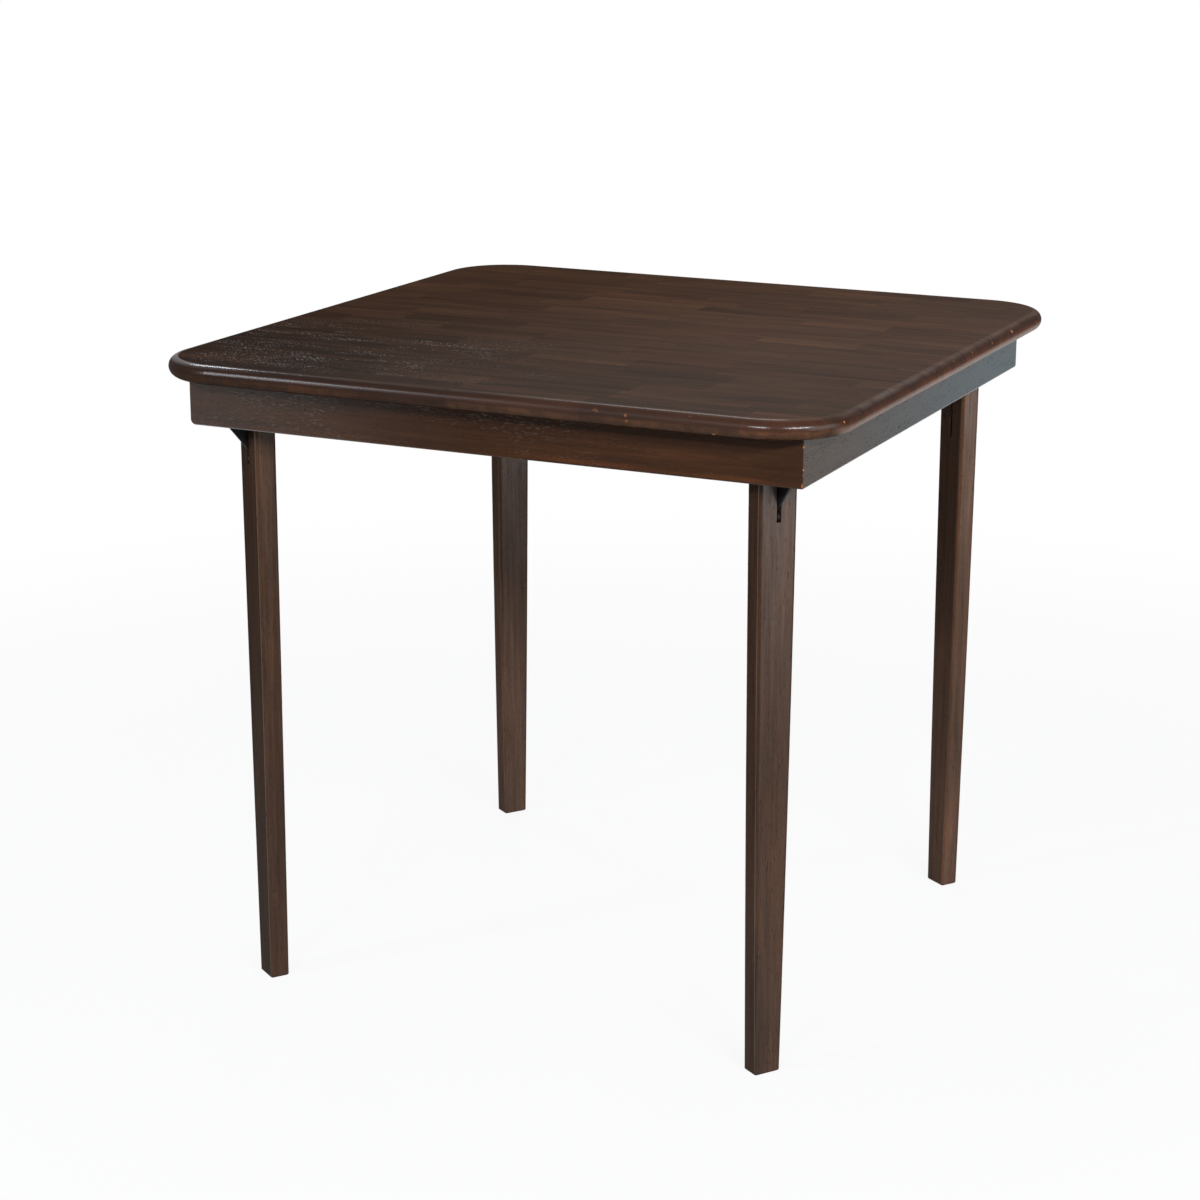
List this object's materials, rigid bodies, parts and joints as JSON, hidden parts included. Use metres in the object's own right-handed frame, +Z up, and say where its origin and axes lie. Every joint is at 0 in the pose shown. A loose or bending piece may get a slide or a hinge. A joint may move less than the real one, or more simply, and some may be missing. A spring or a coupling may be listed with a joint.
{
  "type": "folding card table",
  "caption": "Square wooden folding card table with rounded corners, a bullnose staved top, a plain apron and tapered legs that fold flat under the top on latched steel brackets.",
  "frame": {"origin": "on the floor, under the centre of the square top", "axes": "+Z up; +X along the front edge to the right, +Y to the back; the grain of the top runs along X"},
  "size_m": [0.8128, 0.8128, 0.7493],
  "materials": {
    "top_wood": "satin dark stain over finger-jointed staves",
    "apron_wood": "satin dark stain",
    "leg_wood": "satin dark stain",
    "block_wood": "thin stain over plain wood",
    "black_steel": "black, semi-matt",
    "bright_steel": "zinc plated",
    "spring_steel": "oiled spring wire"
  },
  "bodies": {
    "root": {"top_board": "top_wood", "apron_rail_front": "apron_wood", "apron_rail_right": "apron_wood", "apron_rail_back": "apron_wood", "apron_rail_left": "apron_wood", "corner_block_fr": "block_wood", "corner_block_br": "block_wood", "corner_block_bl": "block_wood", "corner_block_fl": "block_wood", "glue_blocks_front": "block_wood", "glue_blocks_right": "block_wood", "glue_blocks_back": "block_wood", "glue_blocks_left": "block_wood", "glue_block_screws_front": "bright_steel", "glue_block_screws_right": "bright_steel", "glue_block_screws_back": "bright_steel", "glue_block_screws_left": "bright_steel", "bracket_fr": "black_steel", "bracket_br": "black_steel", "bracket_bl": "black_steel", "bracket_fl": "black_steel", "bracket_screws_fr": "bright_steel", "bracket_screws_br": "bright_steel", "bracket_screws_bl": "bright_steel", "bracket_screws_fl": "bright_steel"},
    "leg_body_fr": {"leg_fr": "leg_wood", "pivot_pin_fr": "bright_steel", "pivot_washers_fr": "bright_steel", "latch_pin_fr": "bright_steel", "latch_pin_plug_fr": "leg_wood", "latch_spring_fr": "spring_steel"},
    "latch_fr": {"latch_lever_fr": "black_steel"},
    "leg_body_br": {"leg_br": "leg_wood", "pivot_pin_br": "bright_steel", "pivot_washers_br": "bright_steel", "latch_pin_br": "bright_steel", "latch_pin_plug_br": "leg_wood", "latch_spring_br": "spring_steel"},
    "latch_br": {"latch_lever_br": "black_steel"},
    "leg_body_bl": {"leg_bl": "leg_wood", "pivot_pin_bl": "bright_steel", "pivot_washers_bl": "bright_steel", "latch_pin_bl": "bright_steel", "latch_pin_plug_bl": "leg_wood", "latch_spring_bl": "spring_steel"},
    "latch_bl": {"latch_lever_bl": "black_steel"},
    "leg_body_fl": {"leg_fl": "leg_wood", "pivot_pin_fl": "bright_steel", "pivot_washers_fl": "bright_steel", "latch_pin_fl": "bright_steel", "latch_pin_plug_fl": "leg_wood", "latch_spring_fl": "spring_steel"},
    "latch_fl": {"latch_lever_fl": "black_steel"}
  },
  "joints": [
    {"name": "leg_fold_fr", "type": "hinge", "parent": "root", "child": "leg_body_fr", "pos_m": [0.313, -0.313, 0.7069], "axis": [0.5736, 0.8192, 0], "range_deg": [0, 90.5]},
    {"name": "leg_fold_br", "type": "hinge", "parent": "root", "child": "leg_body_br", "pos_m": [0.313, 0.313, 0.7069], "axis": [-0.8192, 0.5736, 0], "range_deg": [0, 86.5]},
    {"name": "leg_fold_bl", "type": "hinge", "parent": "root", "child": "leg_body_bl", "pos_m": [-0.313, 0.313, 0.7069], "axis": [-0.5736, -0.8192, 0], "range_deg": [0, 90.5]},
    {"name": "leg_fold_fl", "type": "hinge", "parent": "root", "child": "leg_body_fl", "pos_m": [-0.313, -0.313, 0.7069], "axis": [0.8192, -0.5736, 0], "range_deg": [0, 86.5]},
    {"name": "latch_press_fr", "type": "hinge", "parent": "leg_body_fr", "child": "latch_fr", "pos_m": [0.31955, -0.31759, 0.6291], "axis": [-0.5736, -0.8192, 0], "range_deg": [0, 15], "stiffness_Nm_per_rad": 0.08, "springref_deg": -20.05},
    {"name": "latch_press_br", "type": "hinge", "parent": "leg_body_br", "child": "latch_br", "pos_m": [0.31759, 0.31955, 0.6291], "axis": [0.8192, -0.5736, 0], "range_deg": [0, 15], "stiffness_Nm_per_rad": 0.08, "springref_deg": -20.05},
    {"name": "latch_press_bl", "type": "hinge", "parent": "leg_body_bl", "child": "latch_bl", "pos_m": [-0.31955, 0.31759, 0.6291], "axis": [0.5736, 0.8192, 0], "range_deg": [0, 15], "stiffness_Nm_per_rad": 0.08, "springref_deg": -20.05},
    {"name": "latch_press_fl", "type": "hinge", "parent": "leg_body_fl", "child": "latch_fl", "pos_m": [-0.31759, -0.31955, 0.6291], "axis": [-0.8192, 0.5736, 0], "range_deg": [0, 15], "stiffness_Nm_per_rad": 0.08, "springref_deg": -20.05}
  ]
}
